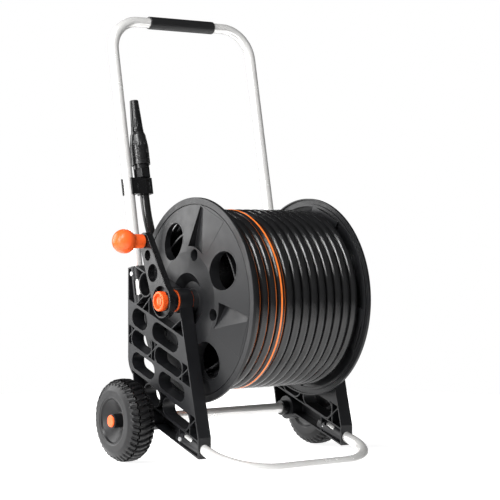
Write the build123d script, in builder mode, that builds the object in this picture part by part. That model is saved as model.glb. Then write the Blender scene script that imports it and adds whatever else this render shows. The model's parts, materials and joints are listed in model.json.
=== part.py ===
from build123d import *
import math
import os

os.makedirs("parts", exist_ok=True)

# A garden hose reel cart. Millimetres, +Z up, the drum axis runs along X,
# the foot bar is at the front (-Y), the wheels and the push handle at the rear (+Y),
# the crank is on the left (-X). X = 0 is the plane half way between the side frames,
# Y = 0 is the drum axis and Z = 0 is the floor. The last block moves every part so
# that the frame's origin is the middle of the footprint.

# ---------------------------------------------------------------- driving sizes
AXIS_Z = 304            # drum axis above the floor
FRAME_X = 163           # centre plane of each side frame
FRAME_T = 27            # side frame thickness
WALL = 3                # moulded wall
TUBE_R = 10             # handle, foot and axle tubes
FIT = 0.06              # radial clearance of a fixed tube or pin
RUN = 0.08              # radial clearance of a turning fit

FLANGE_R = 190
FLANGE_X = 133          # outer face of the flange rim
RIM_T = 6               # rim thickness
RIM_W = 12              # rim width
DOME_X = 148.2          # outermost plane of the domed flange face
CORE_R = 131.8
HOSE_D = 18
PITCH = 18.45           # turn spacing on the drum

AXLE_Y = 98
WHEEL_R = 79
WHEEL_X = 224
WHEEL_W = 57

LEAN = 0.21             # handle lean, mm rearward per mm of height
HANDLE_Y = 169          # handle leg, rearward at HANDLE_Z
HANDLE_Z = 443
HANDLE_TOP = 845
FOOT_SLOPE = 0.2556     # fall of the foot tube towards the front
FOOT_Y = -186.5
RIB_SLOPE = 0.322       # the ribs of the side frames run parallel to the lower edge

CRANK_ANGLE = 28.8      # crank turned rearward from straight up
CRANK_R = 124.4
GRIP_X = -247.5         # centre of the crank ball

HOSE_X = -130           # hose and nozzle beside the left handle leg
TAIL_X = -108           # first turn on the drum
TAIL_R = 159.5            # radius of the outer layer
LOWER_R = 141.5           # radius of the lower layer


def leg_y(z):
    return HANDLE_Y + LEAN * (z - HANDLE_Z)


def foot_z(y):
    return TUBE_R + FOOT_SLOPE * (y - FOOT_Y)


def rib_z(base, y):
    return base + RIB_SLOPE * y


DRUM_AXIS = Axis((0, 0, AXIS_Z), (1, 0, 0))
WHEEL_AXIS = Axis((0, AXLE_Y, WHEEL_R), (1, 0, 0))
RIB_ANGLE = math.degrees(math.atan(RIB_SLOPE))
OUT_X = -(FRAME_X + FRAME_T / 2)
IN_X = -(FRAME_X - FRAME_T / 2)
LEG_DIR = Vector(0, LEAN, 1).normalized()
FOOT_DIR = Vector(0, -1, -FOOT_SLOPE).normalized()

# ---------------------------------------------------------------- side frames
# rib lines, height at Y = 0, from the top down
LINE_A, LINE_B, LINE_C, LINE_D, LINE_E = 247.3, 202.9, 164.7, 119.5, 78.6
# through slots: centre y, centre z, overall length, height
FLUSH_SLOTS = [(122, 264.4, 56, 35), (32.3, 235.5, 93.5, 35),
               (109.7, 177.4, 83, 33), (10.7, 145.5, 92.3, 33)]
DEEP_SLOTS = [(115.7, 221.1, 72.3, 32), (21.5, 190.7, 96, 32),
              (-5, 97.4, 92, 32), (78, 124.2, 56, 32)]
# short ribs that brace the deep bands: start and end in (y, z)
BRACES = [((165, 228), (138, 247)), ((93, 196), (56, 221)), ((-10, 160), (-50, 185)),
          ((136, 292), (108, 309)), ((114, 283), (82, 309)), ((89, 276), (89, 306)),
          ((13, 251), (-24, 272)), ((-36, 68), (-74, 96)),
          ((151, 213), (151, 251)), ((80.5, 190), (80.5, 228)),
          ((68, 186), (68, 225)), ((-25, 156), (-25, 195)), ((-17, 42), (-17, 73)),
          ((-51, 62), (-51, 103))]
RING_Y, RING_Z, RING_R = 101.3, 331, 22

with BuildSketch(Plane.YZ) as frame_outline:
    with BuildLine():
        Polyline((165, 196), (165, 361), (140, 366), (120, 360), (24, 329), (0, 318),
                 (-19, 297), (-24, 271), (-80, 60), (-80, 22), (68, 67), (98, 60),
                 (133, 84), (148, 158))
        ThreePointArc((148, 158), (161, 174), (165, 196))
    make_face()
    with Locations((0, AXIS_Z)):
        Circle(23)
    with Locations((AXLE_Y, WHEEL_R)):
        Circle(23)



def band_corners(upper, lower):
    """The strip between two rib lines, without the ribs."""
    half = WALL / 2
    left, right = -90, 190
    return [(left, rib_z(lower, left) + half), (right, rib_z(lower, right) + half),
            (right, rib_z(upper, right) - half), (left, rib_z(upper, left) - half)]


with BuildSketch(Plane.YZ) as flush_bands:
    for upper, lower in ((LINE_A, LINE_B), (LINE_C, LINE_D)):
        with BuildLine():
            Polyline(*band_corners(upper, lower), close=True)
        make_face()
    offset(frame_outline.sketch_local, amount=-WALL, kind=Kind.INTERSECTION, mode=Mode.INTERSECT)

with BuildSketch(Plane.YZ) as deep_bands:
    for upper, lower in ((LINE_A + 200, LINE_A), (LINE_B, LINE_C), (LINE_D, LINE_E),
                         (LINE_E, LINE_E - 100)):
        with BuildLine():
            Polyline(*band_corners(upper, lower), close=True)
        make_face()
    offset(frame_outline.sketch_local, amount=-WALL, kind=Kind.INTERSECTION, mode=Mode.INTERSECT)

with BuildPart() as left_side_frame:
    with BuildSketch(Plane.YZ.offset(OUT_X)):
        add(frame_outline.sketch_local)
    extrude(amount=FRAME_T)
    # the flush bands are open towards the drum, the deep bands towards the outside
    with BuildSketch(Plane.YZ.offset(OUT_X + WALL)):
        add(flush_bands.sketch_local)
    extrude(amount=FRAME_T, mode=Mode.SUBTRACT)
    with BuildSketch(Plane.YZ.offset(IN_X - WALL)):
        add(deep_bands.sketch_local)
    extrude(amount=-FRAME_T, mode=Mode.SUBTRACT)
    # slot walls, bosses and braces over the full thickness
    with BuildSketch(Plane.YZ.offset(OUT_X)):
        for y, z, length, height in FLUSH_SLOTS + DEEP_SLOTS:
            with Locations((y, z)):
                SlotOverall(length + 5, height + 5, rotation=RIB_ANGLE)
        with Locations((RING_Y, RING_Z)):
            Circle(RING_R + 2)
        with Locations((0, AXIS_Z)):
            Circle(23)
        with Locations((AXLE_Y, WHEEL_R)):
            Circle(23)
        add(frame_outline.sketch_local, mode=Mode.INTERSECT)
    extrude(amount=FRAME_T)
    for start, end in BRACES:
        with BuildSketch(Plane.YZ.offset(OUT_X)):
            middle = ((start[0] + end[0]) / 2, (start[1] + end[1]) / 2)
            turn = math.degrees(math.atan2(end[1] - start[1], end[0] - start[0]))
            with Locations(middle):
                Rectangle(math.dist(start, end), 2.2, rotation=turn)
            add(frame_outline.sketch_local, mode=Mode.INTERSECT)
        extrude(amount=FRAME_T)
    # sockets for the handle tube and the foot tube
    with BuildSketch(Plane(origin=(-FRAME_X, leg_y(292), 292), x_dir=(1, 0, 0), z_dir=LEG_DIR)):
        Circle(FRAME_T / 2)
    extrude(amount=74)
    with BuildSketch(Plane(origin=(-FRAME_X, -4, foot_z(-4)), x_dir=(1, 0, 0), z_dir=FOOT_DIR)):
        Circle(FRAME_T / 2)
    extrude(amount=80)
    # trim what stands outside the outline
    with BuildSketch(Plane.YZ.offset(OUT_X)):
        add(frame_outline.sketch_local)
    extrude(amount=FRAME_T, mode=Mode.INTERSECT)
    # through slots
    with BuildSketch(Plane.YZ.offset(OUT_X)):
        for y, z, length, height in FLUSH_SLOTS + DEEP_SLOTS:
            with Locations((y, z)):
                SlotOverall(length, height, rotation=RIB_ANGLE)
        with Locations((RING_Y, RING_Z)):
            Circle(RING_R - 0.5)
    extrude(amount=FRAME_T, mode=Mode.SUBTRACT)
    # bores: bearing bush, axle, handle tube, foot tube
    with BuildSketch(Plane.YZ.offset(OUT_X)):
        with Locations((0, AXIS_Z)):
            Circle(17 + FIT)
        with Locations((AXLE_Y, WHEEL_R)):
            Circle(TUBE_R + FIT)
    extrude(amount=FRAME_T, mode=Mode.SUBTRACT)
    with BuildSketch(Plane(origin=(-FRAME_X, leg_y(298), 298), x_dir=(1, 0, 0), z_dir=LEG_DIR)):
        Circle(TUBE_R + FIT)
    extrude(amount=90, mode=Mode.SUBTRACT)
    with BuildSketch(Plane(origin=(-FRAME_X, -9, foot_z(-9)), x_dir=(1, 0, 0), z_dir=FOOT_DIR)):
        Circle(TUBE_R + FIT)
    extrude(amount=90, mode=Mode.SUBTRACT)
    # sight windows into both sockets
    with BuildSketch(Plane.YZ.offset(OUT_X)):
        with BuildLine():
            Polyline((139, 309), (145, 338), (133, 341), (128, 312), close=True)
        make_face()
        with Locations((-39, rib_z(LINE_E, -39) - 10)):
            SlotOverall(30, 7, rotation=RIB_ANGLE)
    extrude(amount=FRAME_T, mode=Mode.SUBTRACT)
    # cross holes for the two tube screws
    with Locations(Location((-FRAME_X, leg_y(350), 350), (0, 90, 0)),
                   Location((-FRAME_X, -20, foot_z(-20)), (0, 90, 0))):
        Cylinder(2.2, FRAME_T + 4, mode=Mode.SUBTRACT)

# both side frames are the same moulding, facing the same way
with BuildPart() as right_side_frame:
    add(left_side_frame.part.moved(Location((2 * FRAME_X, 0, 0))))

# ---------------------------------------------------------------- tubes of the cart
LEG_START = 299
with BuildPart() as handle_tube:
    with BuildLine():
        FilletPolyline((-FRAME_X, leg_y(LEG_START), LEG_START),
                       (-FRAME_X, leg_y(HANDLE_TOP), HANDLE_TOP),
                       (FRAME_X, leg_y(HANDLE_TOP), HANDLE_TOP),
                       (FRAME_X, leg_y(LEG_START), LEG_START), radius=62)
    with BuildSketch(Plane(origin=(-FRAME_X, leg_y(LEG_START), LEG_START),
                           x_dir=(1, 0, 0), z_dir=LEG_DIR)):
        Circle(TUBE_R)
        Circle(TUBE_R - 1.2, mode=Mode.SUBTRACT)
    sweep()
    with Locations(Location((0, leg_y(350), 350), (0, 90, 0))):
        Cylinder(2.1, 2 * FRAME_X + 40, mode=Mode.SUBTRACT)

GRIP_LENGTH = 152
with BuildPart() as handle_grip:
    with Locations(Location((0, leg_y(HANDLE_TOP), HANDLE_TOP), (0, 90, 0))):
        Cylinder(TUBE_R + 2.6, GRIP_LENGTH)
        Cylinder(TUBE_R + FIT, GRIP_LENGTH, mode=Mode.SUBTRACT)
    fillet(handle_grip.edges().filter_by(GeomType.CIRCLE).group_by(SortBy.RADIUS)[-1], 1.6)

FOOT_BACK = -10
with BuildPart() as foot_tube:
    with BuildLine():
        FilletPolyline((-FRAME_X, FOOT_BACK, foot_z(FOOT_BACK)), (-FRAME_X, FOOT_Y, TUBE_R),
                       (FRAME_X, FOOT_Y, TUBE_R), (FRAME_X, FOOT_BACK, foot_z(FOOT_BACK)),
                       radius=90)
    with BuildSketch(Plane(origin=(-FRAME_X, FOOT_BACK, foot_z(FOOT_BACK)),
                           x_dir=(1, 0, 0), z_dir=FOOT_DIR)):
        Circle(TUBE_R)
        Circle(TUBE_R - 1.2, mode=Mode.SUBTRACT)
    sweep()
    with Locations(Location((0, -20, foot_z(-20)), (0, 90, 0))):
        Cylinder(2.1, 2 * FRAME_X + 40, mode=Mode.SUBTRACT)

AXLE_HALF = 249
with BuildPart() as axle_tube:
    with Locations(Location((0, AXLE_Y, WHEEL_R), (0, 90, 0))):
        Cylinder(TUBE_R, 2 * AXLE_HALF)
        Cylinder(TUBE_R - 1.5, 2 * AXLE_HALF, mode=Mode.SUBTRACT)

with BuildPart() as tube_screws:
    for side in (-1, 1):
        for y, z in ((leg_y(350), 350), (-20, foot_z(-20))):
            with Locations(Location((side * (FRAME_X + 1), y, z), (0, 90 * side, 0))):
                Cylinder(2, FRAME_T)
            with Locations(Location((side * (FRAME_X + FRAME_T / 2 + 1.2), y, z), (0, 90 * side, 0))):
                Cylinder(4, 2.2)
                Cylinder(1.6, 2.6, mode=Mode.SUBTRACT)

# ---------------------------------------------------------------- bearings
JOURNAL_R = 14
with BuildPart() as left_bearing_bush:
    with BuildSketch(Plane.XZ):
        with BuildLine():
            Polyline((OUT_X - 2, AXIS_Z + JOURNAL_R + RUN), (OUT_X - 2, AXIS_Z + 20),
                     (OUT_X - 0.1, AXIS_Z + 20), (OUT_X - 0.1, AXIS_Z + 17),
                     (IN_X, AXIS_Z + 17), (IN_X, AXIS_Z + JOURNAL_R + RUN), close=True)
        make_face()
    revolve(axis=DRUM_AXIS)

with BuildPart() as right_bearing_bush:
    mirror(left_bearing_bush.part, about=Plane.YZ)

with BuildPart() as thrust_washers:
    for side in (-1, 1):
        with Locations(Location((side * (DOME_X - IN_X) / 2, 0, AXIS_Z), (0, 90, 0))):
            Cylinder(22, -IN_X - DOME_X - 0.4)
            Cylinder(JOURNAL_R + 0.2, 2, mode=Mode.SUBTRACT)

# ---------------------------------------------------------------- drum
HOLE_R, HOLE_AT, HOLE_ANGLE = 35, 121.7, 27.9
WELL_R, WELL_AT, WELL_ANGLE = 11, 86.6, -15.2
DOME_SLOPE = (DOME_X - FLANGE_X) / 88

with BuildSketch(Plane.XZ) as flange_profile:
    with BuildLine():
        Polyline((-FLANGE_X, AXIS_Z + FLANGE_R - 1), (-FLANGE_X + 1, AXIS_Z + FLANGE_R),
                 (-FLANGE_X + RIM_T, AXIS_Z + FLANGE_R),
                 (-FLANGE_X + RIM_T, AXIS_Z + FLANGE_R - 2.5),
                 (-FLANGE_X + 3, AXIS_Z + FLANGE_R - 2.5),
                 (-FLANGE_X + 3, AXIS_Z + FLANGE_R - RIM_W + 2),
                 (-FLANGE_X + RIM_T, AXIS_Z + FLANGE_R - RIM_W + 2),
                 (-FLANGE_X + RIM_T, AXIS_Z + FLANGE_R - RIM_W - 3),
                 (-FLANGE_X + 3, AXIS_Z + FLANGE_R - RIM_W - 3),
                 (-DOME_X + 3, AXIS_Z + 90), (-DOME_X + 3, AXIS_Z + 54),
                 (-DOME_X + 15, AXIS_Z + 39), (-DOME_X + 15, AXIS_Z + 10.5),
                 (-DOME_X, AXIS_Z + 10.5), (-DOME_X, AXIS_Z + 19), (-DOME_X + 12, AXIS_Z + 22),
                 (-DOME_X + 12, AXIS_Z + 35), (-DOME_X, AXIS_Z + 51), (-DOME_X, AXIS_Z + 90),
                 (-FLANGE_X + 0.4, AXIS_Z + FLANGE_R - RIM_W - 1.4),
                 (-FLANGE_X + 2.4, AXIS_Z + FLANGE_R - RIM_W - 1.2),
                 (-FLANGE_X + 2.4, AXIS_Z + FLANGE_R - RIM_W),
                 (-FLANGE_X, AXIS_Z + FLANGE_R - RIM_W), close=True)
    make_face()


def around(radius, angle):
    """A point of the drum face, angle measured from the top towards the rear."""
    turn = math.radians(angle)
    return (radius * math.sin(turn), AXIS_Z + radius * math.cos(turn))


def scoop_outline(quarter):
    """The four-sided outline of one slanted scoop: inner arc, then the outer end."""
    base = -90 * quarter
    with BuildSketch(Plane.YZ) as outline:
        with BuildLine():
            ThreePointArc(around(100, base), around(100, base - 16), around(96, base - 33))
            Polyline(around(96, base - 33), around(172, base - 33), around(175, base - 7),
                     around(100, base))
        make_face()
    return outline.sketch_local


SCOOP_BACK = -FLANGE_X + RIM_T
with BuildPart() as left_flange:
    add(revolve(flange_profile.sketch, axis=DRUM_AXIS, mode=Mode.PRIVATE))
    # material for the scoops and the hole tubes, trimmed to the dome
    with BuildSketch(Plane.YZ.offset(-DOME_X)):
        for quarter in range(4):
            with Locations(around(HOLE_AT, HOLE_ANGLE - 90 * quarter)):
                Circle(HOLE_R + 3)
            with Locations(around(WELL_AT, WELL_ANGLE - 90 * quarter)):
                Circle(WELL_R + 2.5)
    extrude(amount=DOME_X + SCOOP_BACK)
    for quarter in range(4):
        with BuildSketch(Plane.YZ.offset(-DOME_X)):
            add(scoop_outline(quarter))
            offset(amount=2.5)
        extrude(amount=DOME_X + SCOOP_BACK)
    with BuildSketch(Plane.XZ):
        with BuildLine():
            Polyline((-DOME_X, AXIS_Z), (-DOME_X, AXIS_Z + 90),
                     (-FLANGE_X, AXIS_Z + FLANGE_R - RIM_W - 1.5),
                     (-FLANGE_X, AXIS_Z + FLANGE_R), (0, AXIS_Z + FLANGE_R), (0, AXIS_Z),
                     close=True)
        make_face()
    revolve(axis=DRUM_AXIS, mode=Mode.INTERSECT)
    # through holes
    with BuildSketch(Plane.YZ.offset(-DOME_X - 1)):
        for quarter in range(4):
            with Locations(around(HOLE_AT, HOLE_ANGLE - 90 * quarter)):
                Circle(HOLE_R)
    extrude(amount=30, mode=Mode.SUBTRACT)
    # screw wells, closed at the inner end but for the screw hole
    with BuildSketch(Plane.YZ.offset(-DOME_X - 1)):
        for quarter in range(4):
            with Locations(around(WELL_AT, WELL_ANGLE - 90 * quarter)):
                Circle(WELL_R)
    extrude(amount=18, mode=Mode.SUBTRACT)
    with BuildSketch(Plane.YZ.offset(-DOME_X - 1)):
        for quarter in range(4):
            with Locations(around(WELL_AT, WELL_ANGLE - 90 * quarter)):
                Circle(2.6)
    extrude(amount=30, mode=Mode.SUBTRACT)
    # scoops: deep along the trailing side, flush along the other
    for quarter in range(4):
        base = -90 * quarter
        deep_in = around(100, base)
        deep_out = around(175, base - 7)
        flush_in = around(96, base - 33)
        run = Vector(0, deep_out[0] - deep_in[0], deep_out[1] - deep_in[1]).normalized()
        across = Vector(0, flush_in[0] - deep_in[0], flush_in[1] - deep_in[1])
        width = (across - run * across.dot(run)).length
        start = Vector(-DOME_X - 0.5, deep_in[0], deep_in[1]) - run * 30
        ramp = Plane(origin=start, x_dir=(across - run * across.dot(run)).normalized(),
                     z_dir=run)
        depth = -17.5 if ramp.y_dir.X < 0 else 17.5
        with BuildPart(mode=Mode.PRIVATE) as scoop:
            with BuildSketch(ramp):
                with BuildLine():
                    Polyline((-4, -depth / 4), (-4, depth), (4, depth), (width * 0.55, depth * 0.45),
                             (width + 1, 0), (width + 1, -depth / 4), close=True)
                make_face()
            extrude(amount=150)
            with BuildSketch(Plane.YZ.offset(-DOME_X - 3)):
                add(scoop_outline(quarter))
            extrude(amount=24, mode=Mode.INTERSECT)
        add(scoop.part, mode=Mode.SUBTRACT)
    # journal that turns in the bearing bush and carries the crank
    with Locations(Location((-(DOME_X + 16) , 0, AXIS_Z), (0, 90, 0))):
        Cylinder(JOURNAL_R, 56)
    with Locations(Location((-165, 0, AXIS_Z), (0, 90, 0))):
        Cylinder(10.5, 90, mode=Mode.SUBTRACT)

with BuildPart() as right_flange:
    mirror(left_flange.part, about=Plane.YZ)

CORE_HALF = FLANGE_X - RIM_T
OUTLET_X = -69.5
HUB_TUBE_R = 16
with BuildPart() as drum_core:
    with Locations(Location((0, 0, AXIS_Z), (0, 90, 0))):
        Cylinder(CORE_R, 2 * CORE_HALF - 0.4)
        Cylinder(CORE_R - 3, 2 * CORE_HALF, mode=Mode.SUBTRACT)
    with Locations(Location((OUTLET_X, 72, AXIS_Z), (90, 0, 0))):
        Cylinder(8 + FIT, 126, mode=Mode.SUBTRACT)

with BuildPart() as drum_hub_tube:
    with Locations(Location((0, 0, AXIS_Z), (0, 90, 0))):
        Cylinder(HUB_TUBE_R, 2 * CORE_HALF - 0.4)
        Cylinder(13, 2 * CORE_HALF, mode=Mode.SUBTRACT)
    with Locations(Location((OUTLET_X, 72, AXIS_Z), (90, 0, 0))):
        Cylinder(8 + FIT, 126, mode=Mode.SUBTRACT)

with BuildPart() as drum_spokes:
    for shift in (-CORE_HALF + 0.2, CORE_HALF - 30.2):
        for quarter in range(4):
            angle = WELL_ANGLE - 90 * quarter
            with BuildSketch(Plane.YZ.offset(shift)):
                with Locations(around(CORE_R / 2, angle)):
                    Rectangle(CORE_R, 3, rotation=90 - angle)
                with Locations(around(WELL_AT, angle)):
                    Circle(6)
                with Locations((0, AXIS_Z)):
                    Circle(CORE_R - 3, mode=Mode.INTERSECT)
                    Circle(HUB_TUBE_R, mode=Mode.SUBTRACT)
                with Locations(around(WELL_AT, angle)):
                    Circle(2, mode=Mode.SUBTRACT)
            extrude(amount=30)

with BuildPart() as drum_screws:
    for side in (-1, 1):
        for quarter in range(4):
            y, z = around(WELL_AT, WELL_ANGLE - 90 * quarter)
            with Locations(Location((side * (DOME_X - 15.3), y, z), (0, 90 * side, 0))):
                Cylinder(4.5, 3.2)
                Cylinder(1.6, 8, mode=Mode.SUBTRACT)
            with Locations(Location((side * (DOME_X - 28.5), y, z), (0, 90, 0))):
                Cylinder(1.95, 23.4)

# ---------------------------------------------------------------- hose on the drum
OUTER_R = TAIL_R + HOSE_D / 2 + 0.2
TAIL_LEFT = TAIL_X - HOSE_D / 2 - 0.2
TAIL_RIGHT = TAIL_X + HOSE_D / 2
WIND_LEFT = TAIL_RIGHT + 0.4
OUTER_RIGHT = TAIL_X + 12 * PITCH + HOSE_D / 2 + 0.2
LOWER_RIGHT = 126.4
with BuildPart() as hose_winding:
    with BuildSketch(Plane.XZ):
        with BuildLine():
            Polyline((WIND_LEFT, AXIS_Z + CORE_R + 0.5), (WIND_LEFT, AXIS_Z + OUTER_R),
                     (OUTER_RIGHT, AXIS_Z + OUTER_R), (OUTER_RIGHT, AXIS_Z + LOWER_R + 9.2),
                     (LOWER_RIGHT, AXIS_Z + LOWER_R + 9.2), (LOWER_RIGHT, AXIS_Z + CORE_R + 0.5),
                     close=True)
        make_face()
    revolve(axis=DRUM_AXIS)

# the free end: leaves the first turn at the rear and rises beside the handle leg
TAIL_TOP = 542.5
tail_points = [(TAIL_X, TAIL_R + 0.6, AXIS_Z - 8), (-109.5, 163.5, 376), (-127.2, 171, 446),
               (HOSE_X, leg_y(490.5), 490.5), (HOSE_X, leg_y(TAIL_TOP), TAIL_TOP)]


def bend_radii(points):
    """The largest arc that the two runs at each corner of a route allow."""
    radii = []
    for before, corner, after in zip(points, points[1:], points[2:]):
        run_in = Vector(*corner) - Vector(*before)
        run_out = Vector(*after) - Vector(*corner)
        half_turn = math.radians(run_in.get_angle(run_out)) / 2
        radii.append(0.45 * min(run_in.length, run_out.length) / math.tan(half_turn))
    return radii


tail_radii = bend_radii(tail_points)
print("hose tail bend radii, mm:", [round(radius) for radius in tail_radii])
with BuildPart() as hose_tail:
    with BuildSketch(Plane.XZ):
        with BuildLine():
            Polyline((TAIL_LEFT, AXIS_Z + CORE_R + 0.9), (TAIL_LEFT, AXIS_Z + OUTER_R),
                     (TAIL_RIGHT, AXIS_Z + OUTER_R), (TAIL_RIGHT, AXIS_Z + CORE_R + 0.9),
                     close=True)
        make_face()
    revolve(axis=DRUM_AXIS)
    with BuildLine():
        FilletPolyline(*tail_points, radius=tail_radii)
    first_run = Vector(*tail_points[1]) - Vector(*tail_points[0])
    with BuildSketch(Plane(origin=tail_points[0], x_dir=(1, 0, 0), z_dir=first_run.normalized())):
        Circle(HOSE_D / 2)
    sweep()

with BuildPart() as hose_outlet:
    with Locations(Location((OUTLET_X, 72.25, AXIS_Z), (90, 0, 0))):
        Cylinder(8, 118.1)
        Cylinder(5.5, 122, mode=Mode.SUBTRACT)
    fillet(hose_outlet.edges().group_by(Axis.Y)[-1], 0.8)

# ---------------------------------------------------------------- crank
turn = math.radians(CRANK_ANGLE)
CRANK_Y = CRANK_R * math.sin(turn)
CRANK_Z = AXIS_Z + CRANK_R * math.cos(turn)
ARM_OUT = -206
ARM_IN = -192.8
HUB_R = 31


def on_arm(radius):
    return (radius * math.sin(turn), AXIS_Z + radius * math.cos(turn))


with BuildPart() as crank_arm:
    with BuildSketch(Plane.YZ.offset(ARM_OUT)) as arm_outline:
        with Locations(on_arm(0)):
            Circle(HUB_R - 2)
        with Locations(on_arm(CRANK_R)):
            Circle(16)
        make_hull()
    extrude(amount=ARM_IN - ARM_OUT)
    fillet(crank_arm.edges().group_by(Axis.X)[0], 1.2)
    with BuildSketch(Plane.YZ.offset(ARM_IN)):
        add(arm_outline.sketch_local)
        offset(amount=-3, mode=Mode.REPLACE)
    extrude(amount=-(ARM_IN - ARM_OUT - 3), mode=Mode.SUBTRACT)
    with BuildSketch(Plane.YZ.offset(ARM_OUT + 2)):
        with Locations(on_arm(58)):
            Circle(16.5 + 2.5)
        with Locations(on_arm(94.6)):
            Circle(10 + 2.5)
        with Locations(on_arm(CRANK_R)):
            Circle(9)
    extrude(amount=ARM_IN - ARM_OUT - 2)
    with BuildSketch(Plane.YZ.offset(ARM_IN)):
        with Locations(on_arm(0)):
            Circle(HUB_R)
    extrude(amount=ARM_OUT - ARM_IN + 0.8)
    with BuildSketch(Plane.YZ.offset(OUT_X - 2.6)):
        with Locations(on_arm(0)):
            Circle(18.5)
    extrude(amount=ARM_IN - OUT_X + 2.6)
    with BuildSketch(Plane.YZ.offset(ARM_OUT - 1)):
        with Locations(on_arm(0)):
            Circle(HUB_R - 3)
    extrude(amount=10, mode=Mode.SUBTRACT)
    with BuildSketch(Plane.YZ.offset(OUT_X)):
        with Locations(on_arm(0)):
            Circle(JOURNAL_R + FIT)
    extrude(amount=-16, mode=Mode.SUBTRACT)
    with BuildSketch(Plane.YZ.offset(ARM_OUT - 1)):
        with Locations(on_arm(0)):
            Circle(10.5)
        with Locations(on_arm(58)):
            Circle(16.5)
        with Locations(on_arm(94.6)):
            Circle(10)
        with Locations(on_arm(CRANK_R)):
            Circle(4 + FIT)
    extrude(amount=30, mode=Mode.SUBTRACT)
    # ribs in the hub recess
    for step in range(4):
        with BuildSketch(Plane.YZ.offset(ARM_OUT + 3)):
            with Locations(around(23.5, 45 + 90 * step)):
                Rectangle(2, 10, rotation=-(45 + 90 * step))
        extrude(amount=7)

with BuildPart() as hub_knob:
    with Locations(Location((-206.4, 0, AXIS_Z), (0, 90, 0))):
        Cylinder(18, 11.6)
    fillet(hub_knob.edges().group_by(Axis.X)[0], 1.6)
    with Locations(Location((-212.2, 0, AXIS_Z), (0, 90, 0))):
        Cylinder(14, 11, mode=Mode.SUBTRACT)
    with Locations(Location((-207.7, 0, AXIS_Z), (0, 90, 0))):
        Cylinder(8, 4)
    with Locations(Location((-209.4, 0, AXIS_Z), (0, 90, 0))):
        Box(20, 2.4, 2, mode=Mode.SUBTRACT)
    for step in range(30):
        with Locations(Location((-205.2, *around(18.4, 12 * step)), (0, 90, 0))):
            Cylinder(1.05, 9.2, mode=Mode.SUBTRACT)
    with Locations(Location((-186, 0, AXIS_Z), (0, 90, 0))):
        Cylinder(10.5 - RUN, 30)
        Cylinder(7, 32, mode=Mode.SUBTRACT)

with BuildPart() as crank_grip:
    with BuildSketch(Plane(origin=(0, CRANK_Y, CRANK_Z), x_dir=(1, 0, 0), z_dir=(0, -1, 0))):
        with BuildLine():
            Polyline((-225.5, 0), (-206.8, 0), (-206.8, 10.5))
            RadiusArc((-206.8, 10.5), (-210, 13), -3.4)
            Line((-210, 13), (-223, 13))
            Spline((-223, 13), (-229.5, 14.2), (-235, 18.7), tangents=((-1, 0), (-0.83, 0.56)))
            Line((-235, 18.7), (-235, 0))
            Line((-235, 0), (-225.5, 0))
        make_face()
    revolve(axis=Axis((0, CRANK_Y, CRANK_Z), (1, 0, 0)))
    with Locations((GRIP_X, CRANK_Y, CRANK_Z)):
        Sphere(22.5)
    with Locations(Location((-227, CRANK_Y, CRANK_Z), (0, 90, 0))):
        Cylinder(4 + RUN, 46, mode=Mode.SUBTRACT)

with BuildPart() as grip_pin:
    with Locations(Location((-220, CRANK_Y, CRANK_Z), (0, 90, 0))):
        Cylinder(4, 58)
    with Locations(Location((-190.6, CRANK_Y, CRANK_Z), (0, 90, 0))):
        Cylinder(6.5, 3.4)

# ---------------------------------------------------------------- wheels
HALF_W = WHEEL_W / 2
with BuildSketch(Plane.XZ) as wheel_profile:
    with BuildLine():
        # right half is the face that looks outwards before mirroring
        Polyline((-HALF_W + 8, 12.5), (-HALF_W + 8, 15), (-HALF_W + 4, 38), (-HALF_W, 43))
        Line((-HALF_W, 43), (-HALF_W, 56))
        ThreePointArc((-HALF_W, 56), (-HALF_W + 5.2, 69.5), (-HALF_W + 16, 76))
        ThreePointArc((-HALF_W + 16, 76), (0, WHEEL_R), (HALF_W - 16, 76))
        ThreePointArc((HALF_W - 16, 76), (HALF_W - 5.2, 69.5), (HALF_W, 56))
        Line((HALF_W, 56), (HALF_W, 43))
        Polyline((HALF_W, 43), (HALF_W - 3, 41.5), (HALF_W - 22, 15), (HALF_W - 24, 12.5),
                 (-HALF_W + 8, 12.5))
    make_face()

LUGS = 28
with BuildPart() as right_wheel:
    with BuildSketch(Plane(origin=(WHEEL_X, AXLE_Y, WHEEL_R), x_dir=(1, 0, 0), z_dir=(0, -1, 0))):
        add(wheel_profile.sketch_local)
        offset(amount=-3.6, kind=Kind.INTERSECTION, mode=Mode.SUBTRACT)
    revolve(axis=WHEEL_AXIS)
    with Locations(Location((WHEEL_X, AXLE_Y, WHEEL_R), (0, 90, 0))):
        Cylinder(13, WHEEL_W - 1)
        Cylinder(TUBE_R + RUN, WHEEL_W + 2, mode=Mode.SUBTRACT)
    with BuildSketch(Plane.YZ.offset(WHEEL_X - 21)):
        with Locations((AXLE_Y, WHEEL_R)):
            with PolarLocations(WHEEL_R + 5, LUGS, start_angle=4):
                Rectangle(15.4, 6)
    extrude(amount=42, mode=Mode.SUBTRACT)

with BuildPart() as left_wheel:
    mirror(right_wheel.part, about=Plane.YZ)

CAP_X = WHEEL_X + HALF_W + 0.4
with BuildPart() as right_wheel_cap:
    with Locations(Location((CAP_X + 1.4, AXLE_Y, WHEEL_R), (0, 90, 0))):
        Cylinder(11.3, 2.8)
    fillet(right_wheel_cap.edges().group_by(Axis.X)[-1], 1.8)
    with Locations(Location((CAP_X - 10, AXLE_Y, WHEEL_R), (0, 90, 0))):
        Cylinder(TUBE_R - 1.5 - FIT, 20)
        Cylinder(6, 20, mode=Mode.SUBTRACT)

with BuildPart() as left_wheel_cap:
    mirror(right_wheel_cap.part, about=Plane.YZ)

with BuildPart() as axle_spacers:
    for side in (-1, 1):
        with Locations(Location((side * (FRAME_X + FRAME_T / 2 + 9.4), AXLE_Y, WHEEL_R), (0, 90, 0))):
            Cylinder(14.5, 18)
            Cylinder(TUBE_R + FIT, 20, mode=Mode.SUBTRACT)

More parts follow.
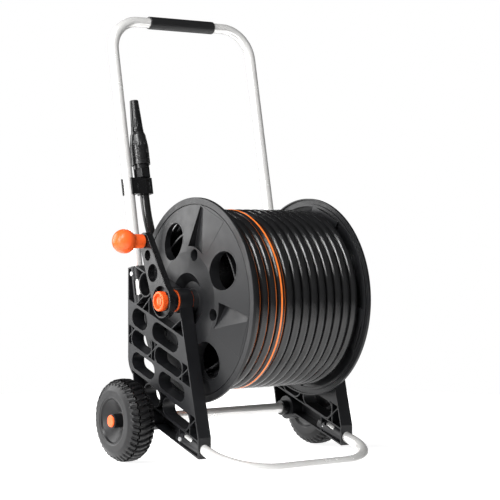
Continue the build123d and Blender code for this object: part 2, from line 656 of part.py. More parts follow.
with BuildPart() as axle_collars:
    for side in (-1, 1):
        with Locations(Location((side * (FRAME_X - FRAME_T / 2 - 7.2), AXLE_Y, WHEEL_R), (0, 90, 0))):
            Cylinder(14.5, 14)
            Cylinder(TUBE_R + FIT, 16, mode=Mode.SUBTRACT)

# ---------------------------------------------------------------- hose clip on the left leg
CLIP_Z, CLIP_H = 501, 31.5
HOSE_OFF = HOSE_X + FRAME_X
CLIP = Plane(origin=(-FRAME_X, leg_y(CLIP_Z), CLIP_Z), x_dir=(1, 0, 0), z_dir=LEG_DIR)
with BuildPart() as hose_clip:
    with BuildSketch(CLIP):
        Circle(13.4)
        with Locations((HOSE_OFF, 0)):
            Circle(13)
        with Locations((HOSE_OFF / 2 + 7, -8)):
            Rectangle(HOSE_OFF + 12, 9.4)
        Circle(TUBE_R + FIT, mode=Mode.SUBTRACT)
        with Locations((HOSE_OFF, 0)):
            Circle(HOSE_D / 2 + 0.45, mode=Mode.SUBTRACT)
        # the mouths: outwards for the leg, rearwards for the hose
        with Locations((-15, -8)):
            Rectangle(26, 20, rotation=12, mode=Mode.SUBTRACT)
        with Locations((HOSE_OFF, 12)):
            Rectangle(13, 14, mode=Mode.SUBTRACT)
    extrude(amount=CLIP_H)
    with BuildSketch(CLIP.offset(5)):
        with Locations((10, -13.2)):
            Rectangle(7, 3.6)
        with Locations((HOSE_OFF + 3.5, -13.2)):
            Rectangle(7, 3.6)
    extrude(amount=CLIP_H - 10, mode=Mode.SUBTRACT)

# ---------------------------------------------------------------- connector and nozzle
STACK_Z = 533.5
STACK = Plane(origin=(HOSE_X, leg_y(STACK_Z), STACK_Z), x_dir=(1, 0, 0), z_dir=LEG_DIR)
UP = (Align.CENTER, Align.CENTER, Align.MIN)
NUT_H, NECK_TOP, COLLAR_TOP, TIP_START, TIP_TOP = 17, 25.5, 91, 96.3, 155.5

with BuildPart(STACK) as hose_nut:
    with BuildSketch(STACK) as nut_outline:
        RegularPolygon(radius=17.6, side_count=6)
        fillet(nut_outline.vertices(), 1.6)
    extrude(amount=NUT_H)
    Cylinder(HOSE_D / 2 + 0.15, NUT_H, align=UP, mode=Mode.SUBTRACT)
    with Locations((0, 0, 9.6)):
        Cylinder(12 + FIT, 10, align=UP, mode=Mode.SUBTRACT)

with BuildPart(STACK) as connector_body:
    with Locations((0, 0, 9.8)):
        Cylinder(12, NUT_H - 9.5, align=UP)
    with Locations((0, 0, NUT_H + 0.3)):
        Cylinder(15.6, NECK_TOP - NUT_H - 0.3, align=UP)
    with Locations((0, 0, NECK_TOP)):
        Cylinder(12.5, 50, align=UP)
    with Locations((0, 0, 40.1)):
        Cylinder(14.9, 0.75, align=UP)
    Cylinder(5.5, 90, align=UP, mode=Mode.SUBTRACT)
    with Locations((0, 0, 50)):
        Cylinder(8 + FIT, 40, align=UP, mode=Mode.SUBTRACT)

with BuildPart(STACK) as connector_collar:
    with Locations((0, 0, NECK_TOP + 0.6)):
        Cylinder(18.4, 9.4, align=UP)
    with Locations((0, 0, 35)):
        Cylinder(17.6, 28, align=UP)
    for step in range(8):
        with Locations((0, 0, 36.4 + 3.3 * step)):
            Cylinder(18.3, 1.9, align=UP)
    with Locations((0, 0, 63)):
        Cone(18, 15, 22, align=UP)
    with Locations((0, 0, 85)):
        Cone(15, 12.6, COLLAR_TOP - 85, align=UP)
    with PolarLocations(19.2, 16):
        with Locations((0, 0, 64)):
            Cylinder(2.6, 20, align=UP, rotation=(0, 0, 0), mode=Mode.SUBTRACT)
    Cylinder(12.5 + RUN, 82, align=UP, mode=Mode.SUBTRACT)
    Cylinder(8.4, 100, align=UP, mode=Mode.SUBTRACT)
    with Locations((0, 0, NECK_TOP)):
        Cylinder(15.6 + RUN, 9, align=UP, mode=Mode.SUBTRACT)
    with Locations((0, 0, 40)):
        Cylinder(15.2, 22, align=UP, mode=Mode.SUBTRACT)

SPRING_R, SPRING_WIRE, SPRING_TURNS, SPRING_H = 13.9, 0.7, 4, 18.6
with BuildPart() as collar_spring:
    with BuildLine() as coil:
        Helix(pitch=SPRING_H / SPRING_TURNS, height=SPRING_H, radius=SPRING_R,
              center=STACK.offset(41.6).origin, direction=LEG_DIR)
    with BuildSketch(Plane(origin=coil.line @ 0, z_dir=coil.line % 0)):
        Circle(SPRING_WIRE)
    sweep(is_frenet=True)

with BuildPart(STACK) as nozzle_body:
    with Locations((0, 0, 52)):
        Cylinder(8, 40, align=UP)
    with Locations((0, 0, COLLAR_TOP + 0.5)):
        Cylinder(12.2, TIP_START - COLLAR_TOP - 0.8, align=UP)
    with Locations((0, 0, TIP_START - 1)):
        Cylinder(6, 45, align=UP)
    with Locations((0, 0, 60)):
        Cylinder(9, 2.4, align=UP, mode=Mode.SUBTRACT)
        Cylinder(6.6, 2.4, align=UP)
    with Locations((0, 0, 50)):
        Cylinder(4, 100, align=UP, mode=Mode.SUBTRACT)

with BuildPart(STACK) as nozzle_seal:
    with Locations((0, 0, 60.1)):
        Cylinder(8.02, 2.2, align=UP)
        Cylinder(6.6 + FIT, 2.2, align=UP, mode=Mode.SUBTRACT)

with BuildPart(STACK) as nozzle_tip:
    with Locations((0, 0, TIP_START)):
        Cone(11.9, 8.4, TIP_TOP - TIP_START, align=UP)
    fillet(nozzle_tip.edges().filter_by(GeomType.CIRCLE).sort_by(Axis.Z)[-1], 1)
    with PolarLocations(13.2, 12):
        with Locations((0, 0, TIP_START + 5)):
            Cylinder(2.5, 44, align=UP, mode=Mode.SUBTRACT)
    with Locations((0, 0, TIP_START)):
        Cylinder(6 + RUN, 45, align=UP, mode=Mode.SUBTRACT)
    Cylinder(3.5, 200, align=UP, mode=Mode.SUBTRACT)

# ---------------------------------------------------------------- water inlet on the right
SWIVEL_X = 210
with BuildPart() as inlet_swivel:
    with Locations(Location((161, 0, AXIS_Z), (0, 90, 0))):
        Cylinder(10.5 - RUN, 64)
    with Locations(Location((SWIVEL_X, 0, AXIS_Z), (0, 90, 0))):
        Cylinder(15, 34)
    fillet(inlet_swivel.edges().filter_by(GeomType.CIRCLE).sort_by(Axis.X)[-1], 3)
    with Locations(Location((SWIVEL_X, 19, AXIS_Z), (90, 0, 0))):
        Cylinder(14, 38)
    with Locations(Location((165, 0, AXIS_Z), (0, 90, 0))):
        Cylinder(6, 90, mode=Mode.SUBTRACT)
    with Locations(Location((SWIVEL_X, 22, AXIS_Z), (90, 0, 0))):
        Cylinder(6, 44, mode=Mode.SUBTRACT)
    with Locations(Location((SWIVEL_X, 32, AXIS_Z), (90, 0, 0))):
        Cylinder(9 + FIT, 14, mode=Mode.SUBTRACT)
    with Locations(Location((145, 0, AXIS_Z), (0, 90, 0))):
        Cylinder(12, 3, mode=Mode.SUBTRACT)
        Cylinder(8.4, 3)
        Cylinder(6, 4, mode=Mode.SUBTRACT)

with BuildPart() as inlet_seal:
    with Locations(Location((145, 0, AXIS_Z), (0, 90, 0))):
        Cylinder(10.5 - RUN / 2, 2.6)
        Cylinder(8.4 + FIT, 2.6, mode=Mode.SUBTRACT)

with BuildPart() as inlet_nipple:
    with BuildSketch(Plane(origin=(SWIVEL_X, 0, AXIS_Z), x_dir=(1, 0, 0), z_dir=(0, 0, 1))):
        with BuildLine():
            Polyline((0, 25.2), (9, 25.2), (9, 38.4), (12.5, 38.4), (12.5, 42), (8, 42), (8, 52),
                     (6.4, 53.5), (6.4, 57), (8, 58.5), (8, 66), (7, 68), (0, 68), close=True)
        make_face()
    revolve(axis=Axis((SWIVEL_X, 0, AXIS_Z), (0, 1, 0)))
    with Locations(Location((SWIVEL_X, 45, AXIS_Z), (90, 0, 0))):
        Cylinder(4.5, 50, mode=Mode.SUBTRACT)

# ---------------------------------------------------------------- names and export
PARTS = {
    "left_side_frame": left_side_frame, "right_side_frame": right_side_frame,
    "handle_tube": handle_tube, "handle_grip": handle_grip, "foot_tube": foot_tube,
    "axle_tube": axle_tube, "tube_screws": tube_screws, "axle_spacers": axle_spacers,
    "axle_collars": axle_collars,
    "left_bearing_bush": left_bearing_bush, "right_bearing_bush": right_bearing_bush,
    "thrust_washers": thrust_washers,
    "left_flange": left_flange, "right_flange": right_flange, "drum_core": drum_core,
    "drum_hub_tube": drum_hub_tube, "drum_spokes": drum_spokes,
    "drum_screws": drum_screws, "hose_outlet": hose_outlet, "hose_winding": hose_winding,
    "hose_tail": hose_tail, "crank_arm": crank_arm, "hub_knob": hub_knob,
    "crank_grip": crank_grip, "grip_pin": grip_pin, "left_wheel": left_wheel,
    "right_wheel": right_wheel, "left_wheel_cap": left_wheel_cap,
    "right_wheel_cap": right_wheel_cap, "hose_clip": hose_clip, "hose_nut": hose_nut,
    "connector_body": connector_body, "connector_collar": connector_collar,
    "collar_spring": collar_spring, "nozzle_body": nozzle_body, "nozzle_seal": nozzle_seal,
    "nozzle_tip": nozzle_tip, "inlet_swivel": inlet_swivel, "inlet_seal": inlet_seal,
    "inlet_nipple": inlet_nipple,
}
boxes = [item.part.bounding_box() for item in PARTS.values()]
MIDDLE_X = (min(box.min.X for box in boxes) + max(box.max.X for box in boxes)) / 2
MIDDLE_Y = (min(box.min.Y for box in boxes) + max(box.max.Y for box in boxes)) / 2
FLOOR_Z = min(box.min.Z for box in boxes)
for name, item in PARTS.items():
    item.part.move(Pos(-MIDDLE_X, -MIDDLE_Y, -FLOOR_Z))
    item.part.label = name
    export_step(item.part, f"parts/{name}.step")
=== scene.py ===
"""The looks of a garden hose reel cart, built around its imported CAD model. Metres, +Z up."""
import json
import math

import bpy
import numpy as np
from mathutils import Matrix, Vector


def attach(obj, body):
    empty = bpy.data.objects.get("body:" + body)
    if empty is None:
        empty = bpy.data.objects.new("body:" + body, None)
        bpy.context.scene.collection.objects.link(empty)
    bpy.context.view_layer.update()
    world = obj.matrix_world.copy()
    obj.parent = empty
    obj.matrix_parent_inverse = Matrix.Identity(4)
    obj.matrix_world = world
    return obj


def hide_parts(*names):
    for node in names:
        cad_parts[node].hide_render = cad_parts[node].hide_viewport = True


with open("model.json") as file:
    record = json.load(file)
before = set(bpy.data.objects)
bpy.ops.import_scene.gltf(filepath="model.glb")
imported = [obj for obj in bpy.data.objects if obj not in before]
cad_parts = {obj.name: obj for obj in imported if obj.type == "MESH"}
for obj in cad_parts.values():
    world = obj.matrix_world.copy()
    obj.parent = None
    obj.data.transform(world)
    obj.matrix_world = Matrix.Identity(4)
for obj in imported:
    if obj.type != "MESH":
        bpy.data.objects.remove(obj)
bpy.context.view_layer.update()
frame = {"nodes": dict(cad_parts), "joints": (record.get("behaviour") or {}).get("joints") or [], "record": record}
NODES = frame["nodes"]
JOINTS = {joint["name"]: joint for joint in frame["joints"]}


def place(joint):
    return Vector(JOINTS[joint]["pos_m"])


MM = 0.001
DRUM = place("drum_spin")


# ---------------------------------------------------------------- small tools
def ease(value, start, end):
    """0 before start, 1 after end and a smooth step between them."""
    share = min(1.0, max(0.0, (value - start) / (end - start)))
    return share * share * (3 - 2 * share)


def rounded(corners, steps=5):
    """A polyline through (along, radius, fillet) corners, with each fillet as an arc."""
    outline = []
    for index, (along, radius, fillet) in enumerate(corners):
        here = Vector((along, radius))
        if fillet == 0 or index in (0, len(corners) - 1):
            outline.append(here)
            continue
        before = (Vector(corners[index - 1][:2]) - here).normalized()
        after = (Vector(corners[index + 1][:2]) - here).normalized()
        half = before.angle(after) / 2
        start = here + before * (fillet / math.tan(half))
        end = here + after * (fillet / math.tan(half))
        centre = here + (before + after).normalized() * (fillet / math.sin(half))
        sweep = math.pi - 2 * half
        from_start = start - centre
        sign = 1 if (start - centre).cross(end - centre) > 0 else -1
        for step in range(steps + 1):
            turn = sign * sweep * step / steps
            outline.append(centre + Matrix.Rotation(turn, 2) @ from_start)
    return outline


def add_mesh(name, points, faces):
    mesh = bpy.data.meshes.new(name)
    mesh.from_pydata([tuple(p) for p in points], [], faces)
    mesh.validate()
    piece = bpy.data.objects.new(name, mesh)
    bpy.context.scene.collection.objects.link(piece)
    return piece


def smooth(piece, angle):
    piece.data.shade_smooth()
    piece.data.set_sharp_from_angle(angle=math.radians(angle))
    return piece


def lathe(name, outline, origin, axis, sides, shape):
    """Turns a closed outline of (along, radius) in metres about an axis.

    shape(along, radius, angle) gives the radius of each point."""
    axis = Vector(axis).normalized()
    side = Vector((0, 1, 0))
    up = axis.cross(side)
    points = []
    for along, radius in outline:
        for step in range(sides):
            angle = 2 * math.pi * step / sides
            out = shape(along, radius, angle)
            points.append(origin + axis * along + (side * math.cos(angle) + up * math.sin(angle)) * out)
    faces = []
    rings = len(outline)
    for ring in range(rings):
        low, high = ring * sides, ((ring + 1) % rings) * sides
        for step in range(sides):
            following = (step + 1) % sides
            faces.append((low + step, high + step, high + following, low + following))
    return add_mesh(name, points, faces)


# ---------------------------------------------------------------- materials
class Paint:
    """A node material, built up from a Principled shader."""

    def __init__(self, name, colour, roughness, **settings):
        self.material = bpy.data.materials.new(name)
        self.material.use_nodes = True
        self.tree = self.material.node_tree
        self.shader = self.tree.nodes["Principled BSDF"]
        self.colour = (*colour, 1)
        self.shader.inputs["Base Color"].default_value = self.colour
        self.shader.inputs["Roughness"].default_value = roughness
        for socket, value in settings.items():
            self.shader.inputs[socket.replace("_", " ")].default_value = value
        self.coordinates = self.node("ShaderNodeTexCoord").outputs["Object"]

    def node(self, kind, inputs=(), **settings):
        made = self.tree.nodes.new(kind)
        for name, value in settings.items():
            setattr(made, name, value)
        for key, value in dict(inputs).items():
            if isinstance(value, bpy.types.NodeSocket):
                self.tree.links.new(value, made.inputs[key])
            else:
                made.inputs[key].default_value = value
        return made

    def maths(self, operation, *values):
        return self.node("ShaderNodeMath", enumerate(values), operation=operation).outputs[0]

    def noise(self, scale, detail=3.0):
        made = self.node("ShaderNodeTexNoise", {
            "Vector": self.coordinates, "Scale": scale, "Detail": detail, "Roughness": 0.55})
        return made.outputs["Fac"]

    def ramp(self, value, low, high, from_low=0.3, from_high=0.7):
        return self.node("ShaderNodeMapRange", {
            "Value": value, "From Min": from_low, "From Max": from_high,
            "To Min": low, "To Max": high}).outputs["Result"]

    def mix(self, share, first, second):
        made = self.node("ShaderNodeMix", data_type="RGBA")
        for socket, value in ((0, share), (6, first), (7, second)):
            if isinstance(value, bpy.types.NodeSocket):
                self.tree.links.new(value, made.inputs[socket])
            else:
                made.inputs[socket].default_value = value if socket == 0 else (*value[:3], 1)
        return made.outputs[2]

    def bump(self, height, strength, distance, normal=None):
        inputs = {"Height": height, "Strength": strength, "Distance": distance}
        if normal is not None:
            inputs["Normal"] = normal
        return self.node("ShaderNodeBump", inputs).outputs["Normal"]

    def plug(self, socket, value):
        self.tree.links.new(value, self.shader.inputs[socket])

    def tinted(self, variation, scale):
        """The base colour, a little lighter and darker in soft patches."""
        patches = self.noise(scale, detail=4)
        dark = [c * (1 - variation) for c in self.colour[:3]]
        light = [c * (1 + variation) for c in self.colour[:3]]
        share = self.ramp(patches, 0, 1)
        return self.mix(share, dark, light)


def moulded(name, colour, roughness, edge=0.9, grain=1.0, variation=0.12, **settings):
    """Moulded plastic: rounded edges, a fine spark-eroded grain, soft patches of colour and gloss."""
    paint = Paint(name, colour, roughness, Specular_IOR_Level=0.30, **settings)
    paint.plug("Base Color", paint.tinted(variation, 14))
    gloss = paint.noise(60, detail=5)
    paint.plug("Roughness", paint.ramp(gloss, roughness - 0.06, roughness + 0.06))
    edges = paint.node("ShaderNodeBevel", {"Radius": edge * MM}, samples=6).outputs["Normal"]
    fine = paint.noise(1600, detail=2)
    paint.plug("Normal", paint.bump(fine, 0.25 * grain, 0.00008, edges))
    return paint.material


def drawn_tube(name, colour, roughness):
    """Polished aluminium tube with a faint fine grain and soft patches of gloss."""
    paint = Paint(name, colour, roughness, Metallic=0.5)
    spread = paint.noise(25, detail=4)
    paint.plug("Roughness", paint.ramp(spread, roughness - 0.03, roughness + 0.07))
    paint.plug("Base Color", paint.tinted(0.03, 40))
    fine = paint.noise(900, detail=3)
    paint.plug("Normal", paint.bump(fine, 0.06, 0.00005))
    return paint.material


def rubbery(name, colour, roughness, scale=700, depth=0.00012):
    paint = Paint(name, colour, roughness)
    paint.plug("Base Color", paint.tinted(0.15, 30))
    paint.plug("Roughness", paint.ramp(paint.noise(90), roughness - 0.08, roughness + 0.08))
    edges = paint.node("ShaderNodeBevel", {"Radius": 0.6 * MM}, samples=4).outputs["Normal"]
    paint.plug("Normal", paint.bump(paint.noise(scale, detail=3), 0.35, depth, edges))
    return paint.material


# where the two stripes sit around the hose, in turns, and the knit of its yarn
STRIPE_A, STRIPE_B = -15 / 360, 39 / 360
STRIPE_WIDE, STRIPE_NARROW = 0.057, 0.03
KNIT_PITCH = 0.0034
KNIT_STARTS = 14


def hose_rubber(name):
    """Black hose with a knitted surface and two orange stripes.

    The UV map holds metres along the hose and turns around it; the attribute stripe_width
    holds the stripes' width in turns."""
    paint = Paint(name, (0.006, 0.006, 0.0065), 0.2)
    uv = paint.node("ShaderNodeUVMap", uv_map="hose").outputs["UV"]
    parts = paint.node("ShaderNodeSeparateXYZ", {"Vector": uv}).outputs
    along, around = parts["X"], parts["Y"]
    width = paint.node("ShaderNodeAttribute", attribute_name="stripe_width").outputs["Fac"]
    masks = []
    for centre in (STRIPE_A, STRIPE_B):
        shifted = paint.maths("FRACT", paint.maths("ADD", around, 0.5 - centre))
        away = paint.maths("ABSOLUTE", paint.maths("SUBTRACT", shifted, 0.5))
        inside = paint.maths("SUBTRACT", paint.maths("MULTIPLY", width, 0.5), away)
        masks.append(paint.ramp(inside, 0, 1, -0.002, 0.002))
    stripe = paint.maths("MAXIMUM", *masks)
    black = paint.tinted(0.25, 60)
    paint.plug("Base Color", paint.mix(stripe, black, (0.86, 0.20, 0.03)))
    # knitted yarn under the skin: two families of helical ribs
    turns = paint.maths("MULTIPLY", along, 1 / KNIT_PITCH)
    ribs = []
    for sign in (1, -1):
        phase = paint.maths("ADD", turns, paint.maths("MULTIPLY", around, sign * KNIT_STARTS))
        ribs.append(paint.maths("SINE", paint.maths("MULTIPLY", phase, 2 * math.pi)))
    knit = paint.maths("MAXIMUM", *ribs)
    knurl = paint.bump(knit, 0.5, 0.00012)
    paint.plug("Normal", paint.bump(paint.noise(700, detail=1), 0.1, 0.00005, knurl))
    paint.plug("Roughness", paint.ramp(paint.noise(400), 0.10, 0.18))
    return paint.material


FRAME_GREY = moulded("frame_plastic", (0.0070, 0.0072, 0.0082), 0.36, edge=0.9)
DRUM_GREY = moulded("drum_plastic", (0.0080, 0.0082, 0.0090), 0.38, edge=0.8)
BLACK = moulded("black_plastic", (0.005, 0.005, 0.0055), 0.28, edge=0.5)
WHEEL_GREY = moulded("wheel_plastic", (0.0055, 0.0055, 0.0060), 0.40, edge=0.8, grain=1.6)
ORANGE = moulded("orange_plastic", (0.84, 0.11, 0.02), 0.30, edge=0.5, variation=0.04,
                 Subsurface_Weight=0.08, Subsurface_Scale=0.003)
TUBE = drawn_tube("tube_metal", (0.88, 0.875, 0.86), 0.22)
STEEL = drawn_tube("screw_steel", (0.62, 0.62, 0.63), 0.3)
GRIP = rubbery("grip_foam", (0.006, 0.006, 0.0065), 0.42)
SOFT_GREY = rubbery("soft_grey", (0.006, 0.006, 0.0065), 0.3, depth=0.00005)
SEAL = rubbery("seal_rubber", (0.02, 0.02, 0.02), 0.5)
HOSE = hose_rubber("hose_rubber")

BY_SLOT = {
    "frame_plastic": FRAME_GREY, "drum_plastic": DRUM_GREY, "black_plastic": BLACK,
    "wheel_plastic": WHEEL_GREY, "orange_plastic": ORANGE, "tube_metal": TUBE,
    "screw_steel": STEEL, "grip_foam": GRIP, "soft_grey": SOFT_GREY, "seal_rubber": SEAL,
    "hose_rubber": HOSE,
}
SLOT_OF = {part["node"]: part["material_slot"] for part in frame["record"]["subparts"]}


def paint_cad(node):
    """Gives a CAD node the material of its slot."""
    materials = NODES[node].data.materials
    materials.clear()
    materials.append(BY_SLOT[SLOT_OF[node]])


def finish_piece(piece, body, node):
    """A new piece stands for a CAD node: its body, its slot and its material."""
    piece.data.materials.append(BY_SLOT[SLOT_OF[node]])
    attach(piece, body)
    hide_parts(node)
    return piece


for name in NODES:
    paint_cad(name)


# ---------------------------------------------------------------- camera
CAMERA_AT = (-1.77295, -2.5546, 0.4414)
CAMERA_AZIMUTH, CAMERA_PITCH = 35.13, 0.85
CAMERA_LENS, CAMERA_SENSOR = 117.36, 36


def add_camera():
    """The viewing angle: from the front left, almost level."""
    azimuth, pitch = math.radians(CAMERA_AZIMUTH), math.radians(CAMERA_PITCH)
    data = bpy.data.cameras.new("camera")
    data.lens = CAMERA_LENS
    data.sensor_width = CAMERA_SENSOR
    data.clip_end = 100
    camera = bpy.data.objects.new("camera", data)
    bpy.context.scene.collection.objects.link(camera)
    camera.location = CAMERA_AT
    forward = Vector((math.sin(azimuth) * math.cos(pitch), math.cos(azimuth) * math.cos(pitch),
                      -math.sin(pitch)))
    camera.rotation_euler = forward.to_track_quat("-Z", "Y").to_euler()
    bpy.context.scene.camera = camera


add_camera()

# ---------------------------------------------------------------- the hose
HOSE_R = 9 * MM
PITCH = 18.45 * MM
LOWER_R, OUTER_R = 141.5 * MM, 159.5 * MM
LOWER_X = -69.5 * MM
OUTER_X = 113.4 * MM
LOWER_TURNS, OUTER_TURNS = 11, 12
POINTS_PER_TURN = 24
JOG = 1 / 12
# a quadratic spline runs inside its control polygon by this factor
INSIDE = 0.75 + 0.25 * math.cos(2 * math.pi / POINTS_PER_TURN)
TAIL_X = -108 * MM
# where the free end rises behind the drum to its nut, in mm from the middle of the drum
TAIL_RISE = ((-108, 160.1, -8), (-109.5, 163.5, 72), (-127.2, 171, 142),
             (-130, 178.975, 186.5), (-130, 189.895, 238.5))


def drum_point(side, radius, degrees):
    """A point around the drum axis, its angle measured from the top towards the rear."""
    turn = math.radians(degrees)
    return DRUM + Vector((side, radius * math.sin(turn), radius * math.cos(turn)))


def jogs(turns, most):
    """How many steps sideways the hose has made: one quick step at the rear in each turn."""
    nearest = round(turns)
    return min(most, max(0, nearest - 1 + ease(turns, nearest - JOG, nearest + JOG)))


def winding_route():
    """Lower layer from left to right, outer layer back, and the end tucked under its own turn."""
    last = LOWER_TURNS + OUTER_TURNS
    route = []
    for step in range(round((last + 0.2) * POINTS_PER_TURN) + 1):
        turns = step / POINTS_PER_TURN
        lower = LOWER_X + PITCH * jogs(turns, LOWER_TURNS - 1)
        outer = OUTER_X - PITCH * jogs(turns - LOWER_TURNS, OUTER_TURNS - 1)
        side = lower + (outer - lower) * ease(turns, LOWER_TURNS - 0.08, LOWER_TURNS + 0.08)
        rise = ease(turns, LOWER_TURNS - 0.22, LOWER_TURNS - 0.07) - ease(turns, last - 0.18, last - 0.03)
        radius = (LOWER_R + (OUTER_R - LOWER_R) * rise) / INSIDE
        route.append(drum_point(side, radius, 90 - 360 * turns))
    return route


def tail_route():
    """One turn beside the winding, its start tucked under, then up beside the handle leg."""
    route = []
    for step in range(round(530 * POINTS_PER_TURN / 360) + 1):
        degrees = 275 - 360 * step / POINTS_PER_TURN
        radius = LOWER_R + (OUTER_R - LOWER_R) * ease(-degrees, -100, -45)
        if degrees > -262:
            route.append(drum_point(TAIL_X, radius / INSIDE, degrees))
    for point in TAIL_RISE:
        route.append(DRUM + Vector(point) * MM)
    return route


def spline_points(route, resolution):
    """The smooth line that a quadratic NURBS spline draws along a route."""
    curve = bpy.data.curves.new("route", "CURVE")
    curve.dimensions = "3D"
    curve.resolution_u = resolution
    spline = curve.splines.new("NURBS")
    spline.points.add(len(route) - 1)
    for point, place_at in zip(spline.points, route):
        point.co = (*place_at, 1)
    spline.order_u = 3
    spline.use_endpoint_u = True
    holder = bpy.data.objects.new("route", curve)
    mesh = bpy.data.meshes.new_from_object(holder)
    line = [v.co.copy() for v in mesh.vertices]
    bpy.data.objects.remove(holder)
    bpy.data.curves.remove(curve)
    bpy.data.meshes.remove(mesh)
    return line


def hose_tube(name, line, twist, width, sides=24):
    """A round tube along a line, its seam facing away from the drum axis.

    twist(along) turns the stripes, in turns around the hose, and width(along) is their width."""
    count = len(line)
    travelled = [0.0]
    for before, after in zip(line, line[1:]):
        travelled.append(travelled[-1] + (after - before).length)
    points, twists, widths = [], [], []
    for index, centre in enumerate(line):
        tangent = (line[min(index + 1, count - 1)] - line[max(index - 1, 0)]).normalized()
        normal = centre - DRUM
        normal.x = 0
        normal = (normal - tangent * normal.dot(tangent)).normalized()
        side = normal.cross(tangent)
        for step in range(sides):
            angle = 2 * math.pi * step / sides
            points.append(centre + (normal * math.cos(angle) + side * math.sin(angle)) * HOSE_R)
        twists.append(twist(travelled[index]))
        widths.append(width(travelled[index]))
    faces = []
    for ring in range(count - 1):
        for step in range(sides):
            following = (step + 1) % sides
            low, high = ring * sides, (ring + 1) * sides
            faces.append((low + step, low + following, high + following, high + step))
    faces.append(tuple(range(sides))[::-1])
    faces.append(tuple((count - 1) * sides + step for step in range(sides)))
    piece = add_mesh(name, points, faces)
    layer = piece.data.uv_layers.new(name="hose")
    for polygon in piece.data.polygons:
        steps = [piece.data.loops[i].vertex_index % sides for i in polygon.loop_indices]
        wraps = max(steps) - min(steps) > sides / 2 and len(steps) == 4
        for loop, step in zip(polygon.loop_indices, steps):
            ring = piece.data.loops[loop].vertex_index // sides
            around = (step if not (wraps and step == 0) else sides) / sides
            layer.data[loop].uv = (travelled[ring], around - twists[ring])
    stripes = piece.data.attributes.new("stripe_width", "FLOAT", "POINT")
    stripes.data.foreach_set("value", np.repeat(np.array(widths, np.float32), sides))
    return smooth(piece, 50)


def add_hose():
    lower_turn = 2 * math.pi * LOWER_R
    outer_turn = 2 * math.pi * OUTER_R
    striped = LOWER_TURNS * lower_turn + 9 * outer_turn

    def winding_twist(along):
        """The stripes face the core up to the last three turns, then come to the outside."""
        first = 0.5 * (1 - ease(along, striped - 0.12, striped + 0.12))
        second = 41 / 360 * ease(along, striped + outer_turn - 0.12, striped + outer_turn + 0.12)
        third = 12 / 360 * ease(along, striped + 2 * outer_turn - 0.2, striped + 2 * outer_turn + 0.2)
        return first + second + third

    def winding_width(along):
        start = striped + outer_turn
        narrowed = ease(along, start - 0.12, start + 0.12)
        return STRIPE_WIDE - (STRIPE_WIDE - STRIPE_NARROW) * narrowed

    line = spline_points(winding_route(), 4)
    winding = hose_tube("wound_hose", line, winding_twist, winding_width)
    winding.data.materials.append(HOSE)
    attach(winding, "drum")
    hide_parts("hose_winding")

    line = spline_points(tail_route(), 4)
    tail = hose_tube("free_hose_end", line, lambda along: 57 / 360, lambda along: STRIPE_NARROW)
    tail.data.materials.append(HOSE)
    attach(tail, "cart_frame")
    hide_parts("hose_tail")


add_hose()


# ---------------------------------------------------------------- wheels
WHEEL_HALF = 28.5
LUG_COUNT = 38
LUG_DEPTH = 4.2 * MM
LUG_WAVE = 0.045
TREAD_HALF = 22 * MM


def add_wheel(side, node, body):
    """A blow-moulded wheel: wavy lugs across a rounded tread, a deep dished face, a black boss.

    The outline runs from the boss over the outer face and the tread to the inner face."""
    half = WHEEL_HALF
    outline = rounded([
        (half - 0.5, 8.2, 0), (half - 0.5, 13, 0.8), (half - 20, 13, 1), (half - 21, 16, 2),
        (half - 4, 40, 2), (half - 0.6, 42, 0.6), (half - 0.6, 44, 0.6), (half + 0.2, 46, 1),
        (half - 0.1, 58, 10), (half - 5.5, 70, 8), (half - 17, 76.4, 6), (0, 79, 60),
        (17 - half, 76.4, 6), (5.5 - half, 70, 8), (-half, 57, 10), (-half, 43, 1),
        (4 - half, 38, 3), (8 - half, 15, 1), (8 - half, 8.2, 0)], steps=6)
    fine = []
    for here, after in zip(outline, outline[1:]):
        pieces = max(1, round((after - here).length / 2.2))
        fine += [here.lerp(after, step / pieces) for step in range(pieces)]
    fine.append(outline[-1])

    def lugs(along, radius, angle):
        if radius < 60 * MM:
            return radius
        across = along / TREAD_HALF
        wave = LUG_WAVE * math.sin(across * 2.6 + 0.6)
        tooth = math.sin(LUG_COUNT * (angle + wave))
        groove = 1 - ease(tooth, -0.65, 0.25)
        middle = 1 - ease(abs(across), 0.92, 1.2)
        return radius - LUG_DEPTH * groove * middle

    points = [(along * MM, radius * MM) for along, radius in fine]
    wheel = lathe(node + "_moulding", points, place(node + "_roll"), (side, 0, 0), sides=336,
                  shape=lugs)
    smooth(wheel, 40)
    finish_piece(wheel, body, node)


add_wheel(-1, "left_wheel", "wheel_left")
add_wheel(1, "right_wheel", "wheel_right")


# ---------------------------------------------------------------- stage and light
def add_floor():
    """A pale disc that glows a little, so that it joins the white behind it."""
    paint = Paint("floor", (0.93, 0.93, 0.93), 0.75, Specular_IOR_Level=0.2)
    paint.plug("Base Color", paint.tinted(0.01, 2))
    paint.shader.inputs["Emission Color"].default_value = (1, 1, 1, 1)
    paint.shader.inputs["Emission Strength"].default_value = 0.85
    radius, sides = 1.3, 90
    turns = [2 * math.pi * step / sides for step in range(sides)]
    rim = [(radius * math.cos(turn), radius * math.sin(turn), 0) for turn in turns]
    floor = add_mesh("floor", rim, [tuple(range(sides))])
    floor.location.z = -0.0005
    floor.data.materials.append(paint.material)


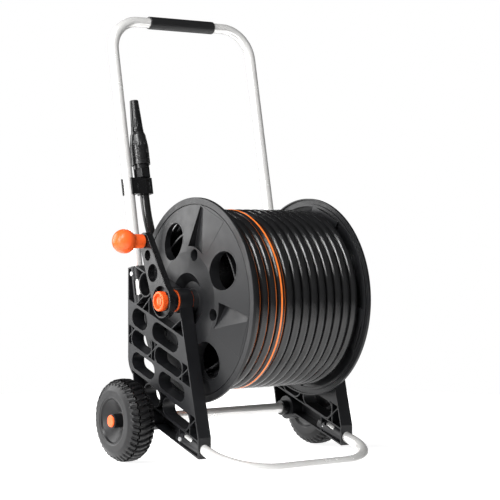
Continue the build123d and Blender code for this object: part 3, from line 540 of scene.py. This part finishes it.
def add_softbox(name, position, target, width, height, power):
    data = bpy.data.lights.new(name, "AREA")
    data.shape = "RECTANGLE"
    data.size = width
    data.size_y = height
    data.energy = power
    lamp = bpy.data.objects.new(name, data)
    bpy.context.scene.collection.objects.link(lamp)
    lamp.location = position
    lamp.rotation_euler = (Vector(target) - Vector(position)).to_track_quat("-Z", "Y").to_euler()
    lamp.visible_camera = False


def add_world():
    """White behind the object; what lights it is bright in front and dim behind."""
    world = bpy.data.worlds.new("studio")
    bpy.context.scene.world = world
    world.use_nodes = True
    tree = world.node_tree
    background = tree.nodes["Background"]
    background.inputs["Color"].default_value = (1, 1, 1, 1)
    towards = tree.nodes.new("ShaderNodeTexCoord").outputs["Generated"]
    facing = tree.nodes.new("ShaderNodeVectorMath")
    facing.operation = "DOT_PRODUCT"
    tree.links.new(towards, facing.inputs[0])
    facing.inputs[1].default_value = (-0.50, -0.82, 0.28)
    spread = tree.nodes.new("ShaderNodeMapRange")
    spread.inputs["From Min"].default_value = -0.5
    spread.inputs["From Max"].default_value = 0.9
    spread.inputs["To Min"].default_value = 0.03
    spread.inputs["To Max"].default_value = 0.26
    spread.interpolation_type = "SMOOTHSTEP"
    tree.links.new(facing.outputs["Value"], spread.inputs["Value"])
    tree.links.new(spread.outputs["Result"], background.inputs["Strength"])
    seen = tree.nodes.new("ShaderNodeBackground")
    seen.inputs["Color"].default_value = (1, 1, 1, 1)
    seen.inputs["Strength"].default_value = 1.0
    path = tree.nodes.new("ShaderNodeLightPath")
    mix = tree.nodes.new("ShaderNodeMixShader")
    tree.links.new(path.outputs["Is Camera Ray"], mix.inputs[0])
    tree.links.new(background.outputs[0], mix.inputs[1])
    tree.links.new(seen.outputs[0], mix.inputs[2])
    tree.links.new(mix.outputs[0], tree.nodes["World Output"].inputs["Surface"])


add_floor()
add_world()
add_softbox("rear_left_box", (-2.4, 2.9, 1.5), (0, 0, 0.35), 3.2, 3.0, 160)
add_softbox("left_strip", (-2.9, -0.5, 1.2), (0, 0, 0.35), 0.22, 2.4, 90)
add_softbox("top_strip", (-1.7, -1.1, 2.5), (0, 0, 0.45), 0.3, 1.6, 75)
bpy.context.scene.view_settings.view_transform = "Standard"
